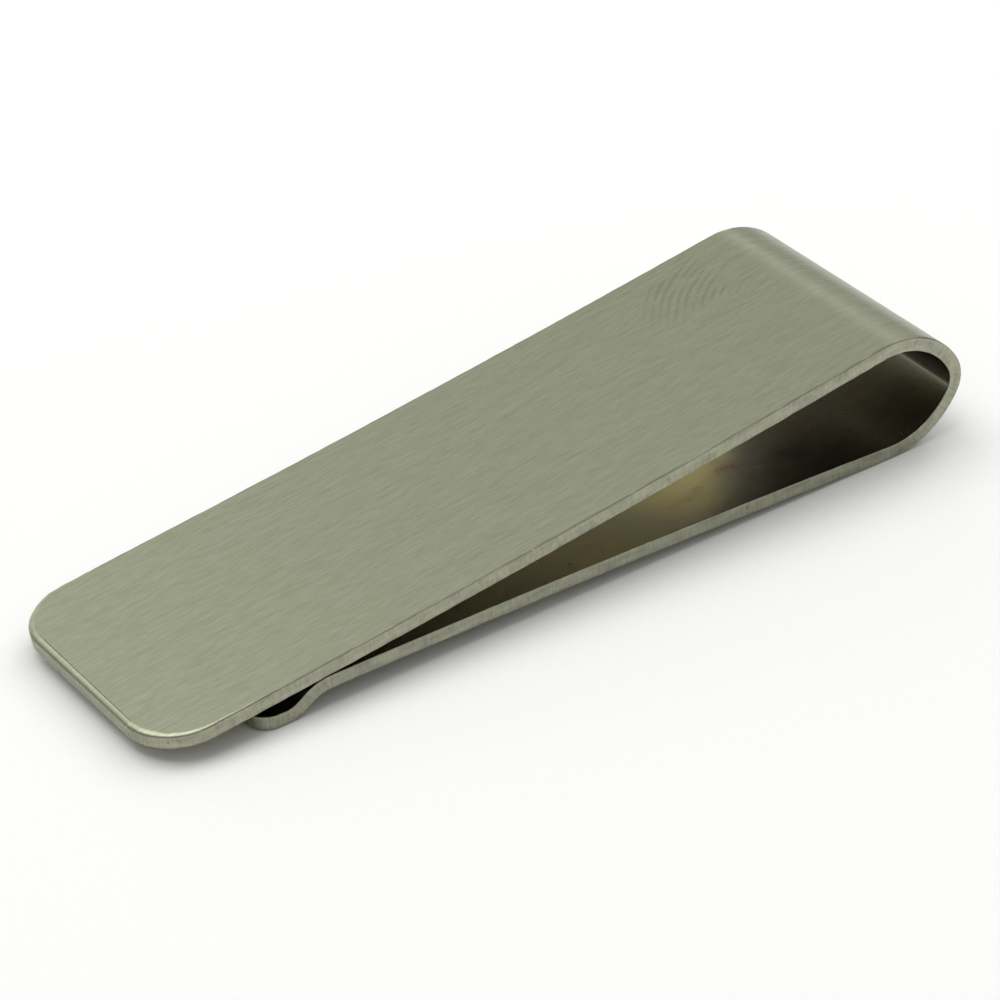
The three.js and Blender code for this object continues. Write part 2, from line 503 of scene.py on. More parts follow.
@dataclass
class BendTool:
    """The tree that scatters burrs on a flat blank's corners and bends it along the route."""

    route: Route
    burr_size: float = 0.021 * MM
    burr_tilt: tuple[float, float, float] = (0.5, 0.7, 0.5)
    burr_least: tuple[float, float, float] = (0.7, 0.35, 0.35)
    burr_most: tuple[float, float, float] = (2.6, 1.0, 1.0)
    seed: int = 11
    shape_seed: int = 5
    tree: bpy.types.NodeTree = field(init=False)
    sockets: dict[str, str] = field(init=False, default_factory=dict)

    def __post_init__(self) -> None:
        """Builds the tree once, for every blank to share."""
        self.tree = bpy.data.node_groups.new("bend_along_route", "GeometryNodeTree")
        self.declare()
        self.wire()

    def declare(self) -> None:
        """Names the tree's inputs and output, and remembers how each input is set."""
        kinds = {
            "Blank": "NodeSocketGeometry",
            "Route": "NodeSocketObject",
            "Burr Size": "NodeSocketFloat",
            "Burr Seed": "NodeSocketInt",
            **{face.name.title(): "NodeSocketMaterial" for face in StripFace},
        }
        for name, kind in kinds.items():
            socket = self.tree.interface.new_socket(name, in_out="INPUT", socket_type=kind)
            self.sockets[name] = socket.identifier
        self.tree.interface.new_socket("Strip", in_out="OUTPUT", socket_type="NodeSocketGeometry")

    def burrs(self, given: bpy.types.Node) -> bpy.types.NodeSocket:
        """Scatters small flakes of turned-up metal over the corners of the flat blank.

        Args:
            given: The tree's input node.

        Returns:
            The flakes as mesh, with their own face kind.
        """
        tree = self.tree
        rate = add_node(tree, "GeometryNodeInputNamedAttribute", {"Name": BURR_RATE}, data_type="FLOAT")
        spots = add_node(tree, "GeometryNodeDistributePointsOnFaces", {
            "Mesh": given.outputs["Blank"], "Density": rate.outputs["Attribute"],
            "Seed": given.outputs["Burr Seed"],
        }, distribute_method="RANDOM")
        flake = add_node(tree, "GeometryNodeMeshIcoSphere", {"Radius": 1.0, "Subdivisions": 1})
        tilt = add_node(tree, "FunctionNodeRandomValue", {
            0: [-part for part in self.burr_tilt], 1: self.burr_tilt,
            "Seed": given.outputs["Burr Seed"],
        }, data_type="FLOAT_VECTOR")
        shape = add_node(tree, "FunctionNodeRandomValue", {
            0: self.burr_least, 1: self.burr_most, "Seed": self.shape_seed,
        }, data_type="FLOAT_VECTOR")
        size = add_node(tree, "ShaderNodeVectorMath", {
            0: shape.outputs[0], "Scale": given.outputs["Burr Size"],
        }, operation="SCALE")
        placed = add_node(tree, "GeometryNodeInstanceOnPoints", {
            "Points": spots.outputs["Points"], "Instance": flake.outputs["Mesh"],
            "Rotation": tilt.outputs[0], "Scale": size.outputs[0],
        })
        real = add_node(tree, "GeometryNodeRealizeInstances", {"Geometry": placed.outputs[0]})
        kind = add_node(tree, "GeometryNodeStoreNamedAttribute", {
            "Geometry": real.outputs[0], "Name": FACE_KIND, "Value": StripFace.BURR.value,
        }, data_type="INT", domain="FACE")
        return kind.outputs[0]

    def wire(self) -> None:
        """Wires the tree: burrs, flat places, bending, then the finish of each kind of face."""
        tree = self.tree
        given = add_node(tree, "NodeGroupInput")
        both = add_node(tree, "GeometryNodeJoinGeometry")
        tree.links.new(self.burrs(given), both.inputs[0])
        tree.links.new(given.outputs["Blank"], both.inputs[0])
        here = add_node(tree, "GeometryNodeInputPosition")
        flat = add_node(tree, "GeometryNodeStoreNamedAttribute", {
            "Geometry": both.outputs[0], "Name": FLAT_PLACE, "Value": here.outputs[0],
        }, data_type="FLOAT_VECTOR", domain="POINT")
        on_map = add_node(tree, "ShaderNodeVectorMath", {
            0: here.outputs[0], "Scale": GRAIN_MAP_SCALE,
        }, operation="SCALE")
        mapped = add_node(tree, "GeometryNodeStoreNamedAttribute", {
            "Geometry": flat.outputs[0], "Name": GRAIN_MAP, "Value": on_map.outputs[0],
        }, data_type="FLOAT2", domain="CORNER")

        route = add_node(tree, "GeometryNodeObjectInfo", {"Object": given.outputs["Route"]},
                         transform_space="ORIGINAL")
        split = add_node(tree, "ShaderNodeSeparateXYZ", {0: here.outputs[0]})
        sample = add_node(tree, "GeometryNodeSampleCurve", {
            "Curves": route.outputs["Geometry"], "Length": split.outputs["X"],
        }, mode="LENGTH")
        tangent = add_node(tree, "ShaderNodeSeparateXYZ", {0: sample.outputs["Tangent"]})
        down = add_node(tree, "ShaderNodeMath", {0: tangent.outputs["Z"], 1: -1.0},
                        operation="MULTIPLY")
        inside = add_node(tree, "ShaderNodeCombineXYZ", {
            "X": down.outputs[0], "Z": tangent.outputs["X"],
        })
        lifted = add_node(tree, "ShaderNodeVectorMath", {
            0: inside.outputs[0], "Scale": split.outputs["Z"],
        }, operation="SCALE")
        across = add_node(tree, "ShaderNodeCombineXYZ", {"Y": split.outputs["Y"]})
        offset = add_node(tree, "ShaderNodeVectorMath", {
            0: lifted.outputs[0], 1: across.outputs[0],
        }, operation="ADD")
        place = add_node(tree, "ShaderNodeVectorMath", {
            0: sample.outputs["Position"], 1: offset.outputs[0],
        }, operation="ADD")
        bent = add_node(tree, "GeometryNodeSetPosition", {
            "Geometry": mapped.outputs[0], "Position": place.outputs[0],
        })
        made = add_node(tree, "GeometryNodeRealizeInstances", {"Geometry": bent.outputs[0]})
        kind = add_node(tree, "GeometryNodeInputNamedAttribute", {"Name": FACE_KIND}, data_type="INT")
        dressed = made.outputs[0]
        for face in StripFace:
            chosen = add_node(tree, "FunctionNodeCompare", {
                2: kind.outputs["Attribute"], 3: face.value,
            }, data_type="INT", operation="EQUAL")
            dressed = add_node(tree, "GeometryNodeSetMaterial", {
                "Geometry": dressed, "Selection": chosen.outputs[0],
                "Material": given.outputs[face.name.title()],
            }).outputs[0]
        add_node(tree, "NodeGroupOutput", {0: dressed})

    def bend(
        self,
        blank: FlatBlank,
        finishes: Mapping[StripFace, bpy.types.Material],
        line: bpy.types.Object,
    ) -> bpy.types.Object:
        """Bends a blank and makes the result a plain mesh.

        Args:
            blank: The flat blank.
            finishes: The material of each kind of face.
            line: The route as a curve object.

        Returns:
            The bent piece, at the origin and with no modifier.
        """
        piece = bpy.data.objects.new(blank.name, blank.mesh(self.route))
        bpy.context.scene.collection.objects.link(piece)
        modifier = piece.modifiers.new("bend", "NODES")
        modifier.node_group = self.tree
        modifier[self.sockets["Route"]] = line
        modifier[self.sockets["Burr Size"]] = self.burr_size
        modifier[self.sockets["Burr Seed"]] = self.seed + blank.seed
        for face, material in finishes.items():
            modifier[self.sockets[face.name.title()]] = material
        graph = bpy.context.evaluated_depsgraph_get()
        bent = bpy.data.meshes.new_from_object(
            piece.evaluated_get(graph), preserve_all_data_layers=True, depsgraph=graph)
        flat = piece.data
        piece.modifiers.clear()
        piece.data = bent
        bpy.data.meshes.remove(flat)
        bent.name = blank.name
        return piece


# ---- Finishes ----------------------------------------------------------------------------------

# Where nearly all of a noise's values lie.
NOISE_RANGE = (0.3, 0.7)
# How far apart the rings of a wave texture are at a scale of one.
WAVE_RING_SPACING = 0.314


class SteelTree:
    """A steel material in the making, whose patterns follow the strip's flat places."""

    def __init__(self, name: str, **fixed: object) -> None:
        """Starts the material.

        Args:
            name: The material's name.
            fixed: Shader inputs that are the same all over, by name with "_" for a space.
        """
        self.material = bpy.data.materials.new(name)
        self.material.use_nodes = True
        self.tree = self.material.node_tree
        self.tree.nodes.clear()
        self.shader = add_node(self.tree, "ShaderNodeBsdfPrincipled", {"Metallic": 1.0})
        for key, value in fixed.items():
            self.shader.inputs[key.replace("_", " ")].default_value = value
        add_node(self.tree, "ShaderNodeOutputMaterial", {"Surface": self.shader.outputs[0]})
        place = add_node(self.tree, "ShaderNodeAttribute", attribute_name=FLAT_PLACE)
        self.place = place.outputs["Vector"]

    def noise(
        self, size: Sequence[float], detail: float = 2.0, shift: float = 0.0
    ) -> bpy.types.NodeSocket:
        """Adds noise whose marks have a real size along, across and through the strip.

        Args:
            size: The marks' size in metres along, across and through; 0 leaves that way out.
            detail: How many finer layers the noise has.
            shift: Moves the pattern, so that two noises of one size differ.

        Returns:
            The noise, about 0.5 on average.
        """
        scale = tuple(1 / part if part else 0.0 for part in size)
        scaled = add_node(self.tree, "ShaderNodeVectorMath", {
            0: self.place, 1: scale, 2: (shift, shift * 1.7, shift * 0.6),
        }, operation="MULTIPLY_ADD")
        noise = add_node(self.tree, "ShaderNodeTexNoise", {
            "Vector": scaled.outputs[0], "Scale": 1.0, "Detail": detail, "Roughness": 0.55,
        })
        return noise.outputs[0]

    def spots(
        self, cell: float, radius: float, share: float, core: float = 0.4
    ) -> bpy.types.NodeSocket:
        """Adds small round spots, at most one in each cell of a given size.

        Args:
            cell: The spots' spacing in metres.
            radius: The largest spot's radius in metres.
            share: How many of the cells have a spot, from 0 to 1.
            core: The part of the radius that is fully inside.

        Returns:
            One in a spot's middle, zero outside the spots.
        """
        scaled = add_node(self.tree, "ShaderNodeVectorMath", {
            0: self.place, 1: (1 / cell, 1 / cell, 0.0),
        }, operation="MULTIPLY")
        cells = add_node(self.tree, "ShaderNodeTexVoronoi", {
            "Vector": scaled.outputs[0], "Scale": 1.0,
        })
        inside = add_node(self.tree, "ShaderNodeMapRange", {
            0: cells.outputs["Distance"], 1: core * radius / cell, 2: radius / cell,
            3: 1.0, 4: 0.0,
        })
        draw = add_node(self.tree, "ShaderNodeSeparateColor", {0: cells.outputs["Color"]})
        chosen = add_node(self.tree, "ShaderNodeMath", {0: draw.outputs[0], 1: share},
                          operation="LESS_THAN")
        both = add_node(self.tree, "ShaderNodeMath", {0: inside.outputs[0], 1: chosen.outputs[0]},
                        operation="MULTIPLY")
        return both.outputs[0]

    def patch(
        self, middle: Sequence[float], reach: Sequence[float], hard: float = 0.4
    ) -> bpy.types.NodeSocket:
        """Adds one oval patch on the flat strip that fades out at its rim.

        Args:
            middle: The patch's middle, along and across, in metres.
            reach: How far it reaches along and across, in metres.
            hard: The part of the reach that is fully inside.

        Returns:
            One inside the patch, zero outside it.
        """
        centred = add_node(self.tree, "ShaderNodeVectorMath", {
            0: self.place, 1: (*middle, 0.0),
        }, operation="SUBTRACT")
        scaled = add_node(self.tree, "ShaderNodeVectorMath", {
            0: centred.outputs[0], 1: (1 / reach[0], 1 / reach[1], 0.0),
        }, operation="MULTIPLY")
        length = add_node(self.tree, "ShaderNodeVectorMath", {0: scaled.outputs[0]},
                          operation="LENGTH")
        fade = add_node(self.tree, "ShaderNodeMapRange", {
            0: length.outputs["Value"], 1: hard, 2: 1.0, 3: 1.0, 4: 0.0,
        }, interpolation_type="SMOOTHSTEP")
        return fade.outputs[0]

    def layers(
        self, ground: str, *coats: tuple[bpy.types.NodeSocket, str]
    ) -> bpy.types.NodeSocket:
        """Lays colours over a ground colour, each as strongly as its own pattern says.

        Args:
            ground: The ground's hex colour.
            coats: For each coat, how much of it a point has and its hex colour.

        Returns:
            The colour of each point.
        """
        colour = linear(ground)
        for amount, coat in coats:
            mixed = add_node(self.tree, "ShaderNodeMix", {
                0: amount, 6: colour, 7: linear(coat),
            }, data_type="RGBA")
            colour = mixed.outputs[2]
        return colour

    def finish(
        self,
        noise: bpy.types.NodeSocket,
        roughness: tuple[float, float],
        colour: bpy.types.NodeSocket | None = None,
        relief: Mapping[str, object] | None = None,
    ) -> None:
        """Sets the shader's colour, and the roughness and relief that follow its noise.

        Args:
            noise: The noise that the roughness follows.
            roughness: How rough the steel is in the noise's low and high parts.
            colour: The colour of each point, unless it is the same all over.
            relief: The inputs of the bump, unless the steel has none.
        """
        links, inputs = self.tree.links, self.shader.inputs
        low, high = NOISE_RANGE
        rough = add_node(self.tree, "ShaderNodeMapRange", {
            0: noise, 1: low, 2: high, 3: roughness[0], 4: roughness[1],
        })
        links.new(rough.outputs[0], inputs["Roughness"])
        if colour:
            links.new(colour, inputs["Base Color"])
        if relief:
            bump = add_node(self.tree, "ShaderNodeBump", relief)
            links.new(bump.outputs[0], inputs["Normal"])


@dataclass(frozen=True)
class BrushedStainless:
    """Stainless strip, belt-brushed along its length to a No. 4 finish.

    To the eye: a soft olive-grey sheen with fine lengthwise lines, broader faint streaks, a
    line of painted shade along each cut edge, and the ridged smudge that handling leaves near the bow.
    """

    colour: str = "#A9AC94"
    dull_colour: str = "#91947C"
    # Colour of the real specks and smudge ridges, and of the painted shade along the cut edges.
    grime_and_shade_colour: str = "#6F705E"
    roughness: tuple[float, float] = (0.35, 0.28)
    line_size: tuple[float, float, float] = (2.1 * MM, 0.085 * MM, 0.0)
    fine_size: tuple[float, float, float] = (0.8 * MM, 0.06 * MM, 0.0)
    fine_share: float = 0.4
    streak_size: tuple[float, float, float] = (12.0 * MM, 0.5 * MM, 0.0)
    streak_share: float = 0.13
    tone_range: tuple[float, float] = (0.38, 0.62)
    speck_spacing: float = 3.5 * MM
    speck_radius: float = 0.11 * MM
    speck_share: float = 0.16
    half_width: float = FlatBlank.width / 2
    # Where the painted shade along each cut edge begins and where it is full, in from the edge, and how
    # dark it gets.
    edge_line: tuple[float, float] = (0.17 * MM, 0.06 * MM)
    edge_darkness: float = 0.75
    smudge_middle: tuple[float, float] = (56.6 * MM, 4.4 * MM)
    smudge_reach: tuple[float, float] = (4.4 * MM, 3.6 * MM)
    ridge_spacing: float = 0.45 * MM
    ridge_darkness: float = 0.3
    ring_offset: tuple[float, float] = (5.0 * MM, 7.0 * MM)

    def material(self) -> bpy.types.Material:
        """Makes the material."""
        steel = SteelTree("brushed_stainless_strip", Anisotropic=0.7, Anisotropic_Rotation=0.25)
        tree = steel.tree
        # Grit lines of a 150 belt are about 0.03 mm apart, too fine to show, so the lines are
        # drawn 0.06 to 0.09 mm wide and 0.8 to 2 mm long.
        lines = steel.noise(self.line_size, 3.0)
        fine = steel.noise(self.fine_size, 1.0, 9.0)
        streaks = steel.noise(self.streak_size, 2.0, 3.0)
        grit = add_node(tree, "ShaderNodeMix", {
            0: self.fine_share, 2: lines, 3: fine,
        }, data_type="FLOAT")
        tone = add_node(tree, "ShaderNodeMix", {
            0: self.streak_share, 2: grit.outputs[0], 3: streaks,
        }, data_type="FLOAT")
        low, high = self.tone_range
        level = add_node(tree, "ShaderNodeMapRange", {0: tone.outputs[0], 1: low, 2: high})
        ridges = self.smudge(steel)
        # Painted shade along the cut edges, joined below with the specks and the smudge's ridges, which
        # are real marks.
        edge = self.painted_edge_shade(steel)
        specks = steel.spots(self.speck_spacing, self.speck_radius, self.speck_share)
        dirt_and_shade = add_node(tree, "ShaderNodeMath", {0: edge, 1: specks}, operation="MAXIMUM")
        smudged = add_node(tree, "ShaderNodeMath", {0: ridges, 1: self.ridge_darkness},
                           operation="MULTIPLY")
        dirt_and_shade = add_node(tree, "ShaderNodeMath", {0: dirt_and_shade.outputs[0], 1: smudged.outputs[0]},
                        operation="MAXIMUM")
        colour = steel.layers(self.dull_colour, (level.outputs[0], self.colour),
                              (dirt_and_shade.outputs[0], self.grime_and_shade_colour))
        steel.finish(tone.outputs[0], self.roughness, colour, {
            "Strength": 0.35, "Distance": 0.004 * MM, "Height": lines,
        })
        grain = add_node(tree, "ShaderNodeTangent", direction_type="UV_MAP", uv_map=GRAIN_MAP)
        tree.links.new(grain.outputs[0], steel.shader.inputs["Tangent"])
        return steel.material

    def smudge(self, steel: SteelTree) -> bpy.types.NodeSocket:
        """Draws a patch of broken curved ridges, as a greasy touch leaves.

        Args:
            steel: The material in the making.

        Returns:
            One on a ridge in the patch, zero elsewhere.
        """
        tree = steel.tree
        # The rings' middle lies off the patch, so that their arcs cross it.
        along, across = (m - o for m, o in zip(self.smudge_middle, self.ring_offset))
        centred = add_node(tree, "ShaderNodeVectorMath", {0: steel.place, 1: (along, across, 0.0)},
                           operation="SUBTRACT")
        flat = add_node(tree, "ShaderNodeVectorMath", {
            0: centred.outputs[0], 1: (1 / MM, 1 / MM, 0.0),
        }, operation="MULTIPLY")
        scale = WAVE_RING_SPACING / (self.ridge_spacing / MM)
        rings = add_node(tree, "ShaderNodeTexWave", {
            "Vector": flat.outputs[0], "Scale": scale, "Distortion": 2.2, "Detail": 1.0,
            "Detail Scale": 0.5,
        }, wave_type="RINGS", rings_direction="SPHERICAL")
        ridge = add_node(tree, "ShaderNodeMapRange", {0: rings.outputs["Fac"], 1: 0.45, 2: 0.85})
        broken = steel.noise((1.7 * MM, 1.2 * MM, 0.0), 1.0, 6.0)
        gaps = add_node(tree, "ShaderNodeMapRange", {0: broken, 1: 0.42, 2: 0.56})
        patch = steel.patch(self.smudge_middle, self.smudge_reach)
        shown = add_node(tree, "ShaderNodeMath", {0: ridge.outputs[0], 1: gaps.outputs[0]},
                         operation="MULTIPLY")
        kept = add_node(tree, "ShaderNodeMath", {0: shown.outputs[0], 1: patch},
                        operation="MULTIPLY")
        return kept.outputs[0]

    def painted_edge_shade(self, steel: SteelTree) -> bpy.types.NodeSocket:
        """Paints a thin line of shade along each cut edge, standing in for the dark reflection on the
        roll-over.

        Args:
            steel: The material in the making.

        Returns:
            How dark each point is, from 0 to 1.
        """
        tree = steel.tree
        begins, full = self.edge_line
        split = add_node(tree, "ShaderNodeSeparateXYZ", {0: steel.place})
        out = add_node(tree, "ShaderNodeMath", {0: split.outputs["Y"]}, operation="ABSOLUTE")
        near = add_node(tree, "ShaderNodeMapRange", {
            0: out.outputs[0], 1: self.half_width - begins, 2: self.half_width - full,
            3: 0.0, 4: self.edge_darkness,
        }, interpolation_type="SMOOTHSTEP")
        patchy = steel.noise((1.6 * MM, 0.0, 0.0), 2.0, 2.0)
        amount = add_node(tree, "ShaderNodeMapRange", {0: patchy, 1: 0.35, 2: 0.6, 3: 0.35, 4: 1.0})
        line = add_node(tree, "ShaderNodeMath", {0: near.outputs[0], 1: amount.outputs[0]},
                        operation="MULTIPLY")
        return line.outputs[0]


@dataclass(frozen=True)
class ShearedStainless:
    """The strip's cut edge, sheared and lightly barrelled.

    To the eye: about as pale as the brushed face but more matt, with faint marks across the
    thickness, a band of painted shade where the edge rolls over to the outside, and a few dark nicks.
    """

    colour: str = "#A9AA94"
    dark_colour: str = "#8A8B7E"
    nick_and_shade_colour: str = "#55524A"
    roughness: tuple[float, float] = (0.5, 0.34)
    tone_range: tuple[float, float] = (0.32, 0.62)
    nick_range: tuple[float, float] = (0.7, 0.78)
    nick_darkness: float = 0.8
    half_thickness: float = FlatBlank.thickness / 2
    # How wide and how dark the band of painted shade on the roll-over is.
    rolled_band: float = 0.07 * MM
    rolled_darkness: float = 0.75

    def material(self) -> bpy.types.Material:
        """Makes the material."""
        steel = SteelTree("sheared_stainless_edge")
        tree = steel.tree
        # Shear marks are 0.05 to 0.15 mm apart and run through the 0.8 mm of the strip.
        marks = steel.noise((0.14 * MM, 0.14 * MM, 0.6 * MM), 3.0)
        patches = steel.noise((1.8 * MM, 1.8 * MM, 0.35 * MM), 3.0, 5.0)
        tone = add_node(tree, "ShaderNodeMix", {0: 0.6, 2: marks, 3: patches}, data_type="FLOAT")
        low, high = self.tone_range
        level = add_node(tree, "ShaderNodeMapRange", {0: tone.outputs[0], 1: low, 2: high})
        split = add_node(tree, "ShaderNodeSeparateXYZ", {0: steel.place})
        # Painted shade on the band next to the outside face, carrying on the shaded line along the
        # brushed face's edge.
        rolled = add_node(tree, "ShaderNodeMapRange", {
            0: split.outputs["Z"], 1: -self.half_thickness,
            2: -self.half_thickness + self.rolled_band, 3: self.rolled_darkness, 4: 0.0,
        })
        # Nicks are short tears through the thickness, about 0.16 mm wide and 0.4 mm long.
        torn = steel.noise((0.16 * MM, 0.16 * MM, 0.4 * MM), 1.0, 12.0)
        least, most = self.nick_range
        nick = add_node(tree, "ShaderNodeMapRange", {
            0: torn, 1: least, 2: most, 3: 0.0, 4: self.nick_darkness,
        })
        # The painted shade and the real nicks share one darker colour.
        dirt_and_shade = add_node(tree, "ShaderNodeMath", {0: rolled.outputs[0], 1: nick.outputs[0]},
                        operation="MAXIMUM")
        colour = steel.layers(self.dark_colour, (level.outputs[0], self.colour),
                              (dirt_and_shade.outputs[0], self.nick_and_shade_colour))
        steel.finish(marks, self.roughness, colour, {
            "Strength": 0.3, "Distance": 0.01 * MM, "Height": marks,
        })
        return steel.material


@dataclass(frozen=True)
class MillStainless:
    """The strip's inside face, left as it was rolled and annealed.

    To the eye: glossier than the brushed face, with a pale tan patch of painted reflection on the
    back leaf, painted shade that darkens it in and near the bow, brown stains and small pits.
    """

    colour: str = "#ABA892"
    tan_reflection_colour: str = "#CDC298"
    bow_shade_colour: str = "#7A786C"
    stain_colour: str = "#86694A"
    pit_colour: str = "#17150F"
    roughness: tuple[float, float] = (0.16, 0.30)
    stain_range: tuple[float, float] = (0.5, 0.7)
    stain_darkness: float = 0.5
    pit_spacing: float = 2.2 * MM
    pit_radius: float = 0.14 * MM
    pit_share: float = 0.4
    tan_reflection_middle: tuple[float, float] = (31.0 * MM, -1.5 * MM)
    tan_reflection_reach: tuple[float, float] = (7.5 * MM, 8.0 * MM)
    # Where the painted shade inside the bow begins and ends along the strip, how it fades and wavers,
    # and its slant across.
    bow_shade_start: float = 35.0 * MM
    bow_shade_end: float = 56.0 * MM
    bow_shade_fade: float = 4.0 * MM
    bow_shade_waver: float = 3.0 * MM
    bow_shade_slant: float = -0.9

    def material(self) -> bpy.types.Material:
        """Makes the material."""
        steel = SteelTree("mill_stainless_inside")
        tree = steel.tree
        # Pickling stains are blotches 1 to 6 mm across, and pits are up to 0.3 mm.
        cloudy = steel.noise((6.0 * MM, 4.0 * MM, 0.0), 3.0)
        speckle = steel.noise((1.5 * MM, 0.8 * MM, 0.0), 4.0, 8.0)
        rolled = steel.noise((5.0 * MM, 0.3 * MM, 0.0), 2.0, 4.0)
        # Painted reflection: a pale tan patch where the back leaf's inside shows the lit floor beyond
        # the far edge.
        tan_reflection = steel.patch(self.tan_reflection_middle, self.tan_reflection_reach, 0.55)
        both = add_node(tree, "ShaderNodeMix", {0: 0.5, 2: cloudy, 3: speckle}, data_type="FLOAT")
        least, most = self.stain_range
        stain = add_node(tree, "ShaderNodeMapRange", {
            0: both.outputs[0], 1: least, 2: most, 3: 0.0, 4: self.stain_darkness,
        }, interpolation_type="SMOOTHSTEP")
        pits = steel.spots(self.pit_spacing, self.pit_radius, self.pit_share)
        # The tan patch is painted reflection and the darkening towards the bow is painted shade; the
        # stains and pits are real marks.
        colour = steel.layers(
            self.colour, (tan_reflection, self.tan_reflection_colour),
            (self.scale(steel, cloudy), self.bow_shade_colour),
            (stain.outputs[0], self.stain_colour), (pits, self.pit_colour))
        pressed = add_node(tree, "ShaderNodeMath", {0: rolled, 1: pits}, operation="SUBTRACT")
        steel.finish(both.outputs[0], self.roughness, colour, {
            "Strength": 0.2, "Distance": 0.004 * MM, "Height": pressed.outputs[0],
        })
        return steel.material

    def scale(self, steel: SteelTree, cloudy: bpy.types.NodeSocket) -> bpy.types.NodeSocket:
        """Paints shade on the inside face in and near the bow, with a wavering start on both leaves.

        Args:
            steel: The material in the making.
            cloudy: Noise that moves the start of the painted shade.

        Returns:
            How much painted shade each point has, from 0 to 1.
        """
        tree = steel.tree
        waver = add_node(tree, "ShaderNodeMath", {0: cloudy, 1: self.bow_shade_waver},
                         operation="MULTIPLY")
        split = add_node(tree, "ShaderNodeSeparateXYZ", {0: steel.place})
        # The painted shade reaches further along the back leaf on the near edge than on the far one.
        slant = add_node(tree, "ShaderNodeMath", {
            0: split.outputs["Y"], 1: self.bow_shade_slant, 2: split.outputs["X"],
        }, operation="MULTIPLY_ADD")
        moved = add_node(tree, "ShaderNodeMath", {0: slant.outputs[0], 1: waver.outputs[0]})
        begun = add_node(tree, "ShaderNodeMapRange", {
            0: moved.outputs[0], 1: self.bow_shade_start, 2: self.bow_shade_start + self.bow_shade_fade,
        }, interpolation_type="SMOOTHSTEP")
        over = add_node(tree, "ShaderNodeMapRange", {
            0: split.outputs["X"], 1: self.bow_shade_end - self.bow_shade_fade, 2: self.bow_shade_end,
            3: 1.0, 4: 0.0,
        }, interpolation_type="SMOOTHSTEP")
        amount = add_node(tree, "ShaderNodeMath", {0: begun.outputs[0], 1: over.outputs[0]},
                          operation="MULTIPLY")
        return amount.outputs[0]


@dataclass(frozen=True)
class BurrStainless:
    """Flakes of metal that shearing turned up along the corners.

    To the eye: single bright sparks along the edge; the flakes are paler than the strip's own steel, so
    part of each spark is painted highlight.
    """

    # Paler than the strip's steel: partly painted highlight, the rest of the spark comes from the
    # facets catching the lamps.
    colour: str = "#E4E4D6"
    roughness: tuple[float, float] = (0.12, 0.4)
    facet: float = 0.05 * MM

    def material(self) -> bpy.types.Material:
        """Makes the material."""
        steel = SteelTree("burr_stainless_flakes", Base_Color=linear(self.colour))
        steel.finish(steel.noise((self.facet,) * 3, 1.0), self.roughness)
        return steel.material


# ---- The clip ----------------------------------------------------------------------------------


@dataclass
class MoneyClip:
    """The whole strip: front leaf, bow, and back leaf with its crest and lip."""

    route: Route = field(default_factory=Route)
    corner_roll: Arris = Arris(0.34 * MM, 0.20 * MM)
    free_corner: float = 3.3 * MM
    toe_roll: Arris = Arris(0.16 * MM, 0.14 * MM)
    toe_corner: float = 1.2 * MM
    toe_fade: float = 1.5 * MM
    bend_margin: float = 0.1 * MM

    def blanks(self) -> dict[str, FlatBlank]:
        """Lays out the flat blank of each part of the strip."""
        heel, shoulder = self.route.begins("heel"), self.route.begins("front_leaf")
        return {
            "front_leaf_strip": FlatBlank(
                "front_leaf_strip", shoulder, self.route.length, self.free_corner, seed=3,
                end_arris=self.corner_roll),
            "bow_strip": FlatBlank("bow_strip", heel, shoulder, seed=7),
            "back_leaf_strip": FlatBlank(
                "back_leaf_strip", heel, 0.0, self.toe_corner, seed=5,
                end_arris=self.toe_roll, end_fade=self.toe_fade),
        }

    def build(self) -> dict[str, bpy.types.Object]:
        """Bends and dresses the three parts.

        Returns:
            Each part by name.
        """
        finishes = {
            StripFace.OUTSIDE: BrushedStainless().material(),
            StripFace.EDGE: ShearedStainless().material(),
            StripFace.INSIDE: MillStainless().material(),
            StripFace.BURR: BurrStainless().material(),
        }
        line = self.route.curve()
        tool = BendTool(self.route)
        parts = {name: tool.bend(blank, finishes, line) for name, blank in self.blanks().items()}
        curve = line.data
        bpy.data.objects.remove(line)
        bpy.data.curves.remove(curve)
        return parts

    def hang(self, parts: Mapping[str, bpy.types.Object]) -> None:
        """Hangs the front and back leaves on their bodies; the bow is baked in place and hangs on
        neither.

        Args:
            parts: The three bent parts.
        """
        front, bow, back = (parts[n] for n in ("front_leaf_strip", "bow_strip", "back_leaf_strip"))
        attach(front, FRONT_HALF)
        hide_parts("front_leaf")
        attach(back, BACK_HALF)
        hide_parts("back_leaf", "grip_crest", "entry_lip")
        inside = FlatBlank.thickness / 2
        top = self.route.place(self.route.begins("front_leaf"), 0.0, inside)
        foot = self.route.place(self.route.begins("heel"), 0.0, inside)
        tip = self.route.place(self.route.begins("nose"), 0.0, 0.0)
        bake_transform(bow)
        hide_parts("bow_shoulder", "bow_nose", "bow_heel")
        for name, part in parts.items():
            LOG.info("%s: %d faces", name, len(part.data.polygons))


# ---- The studio --------------------------------------------------------------------------------


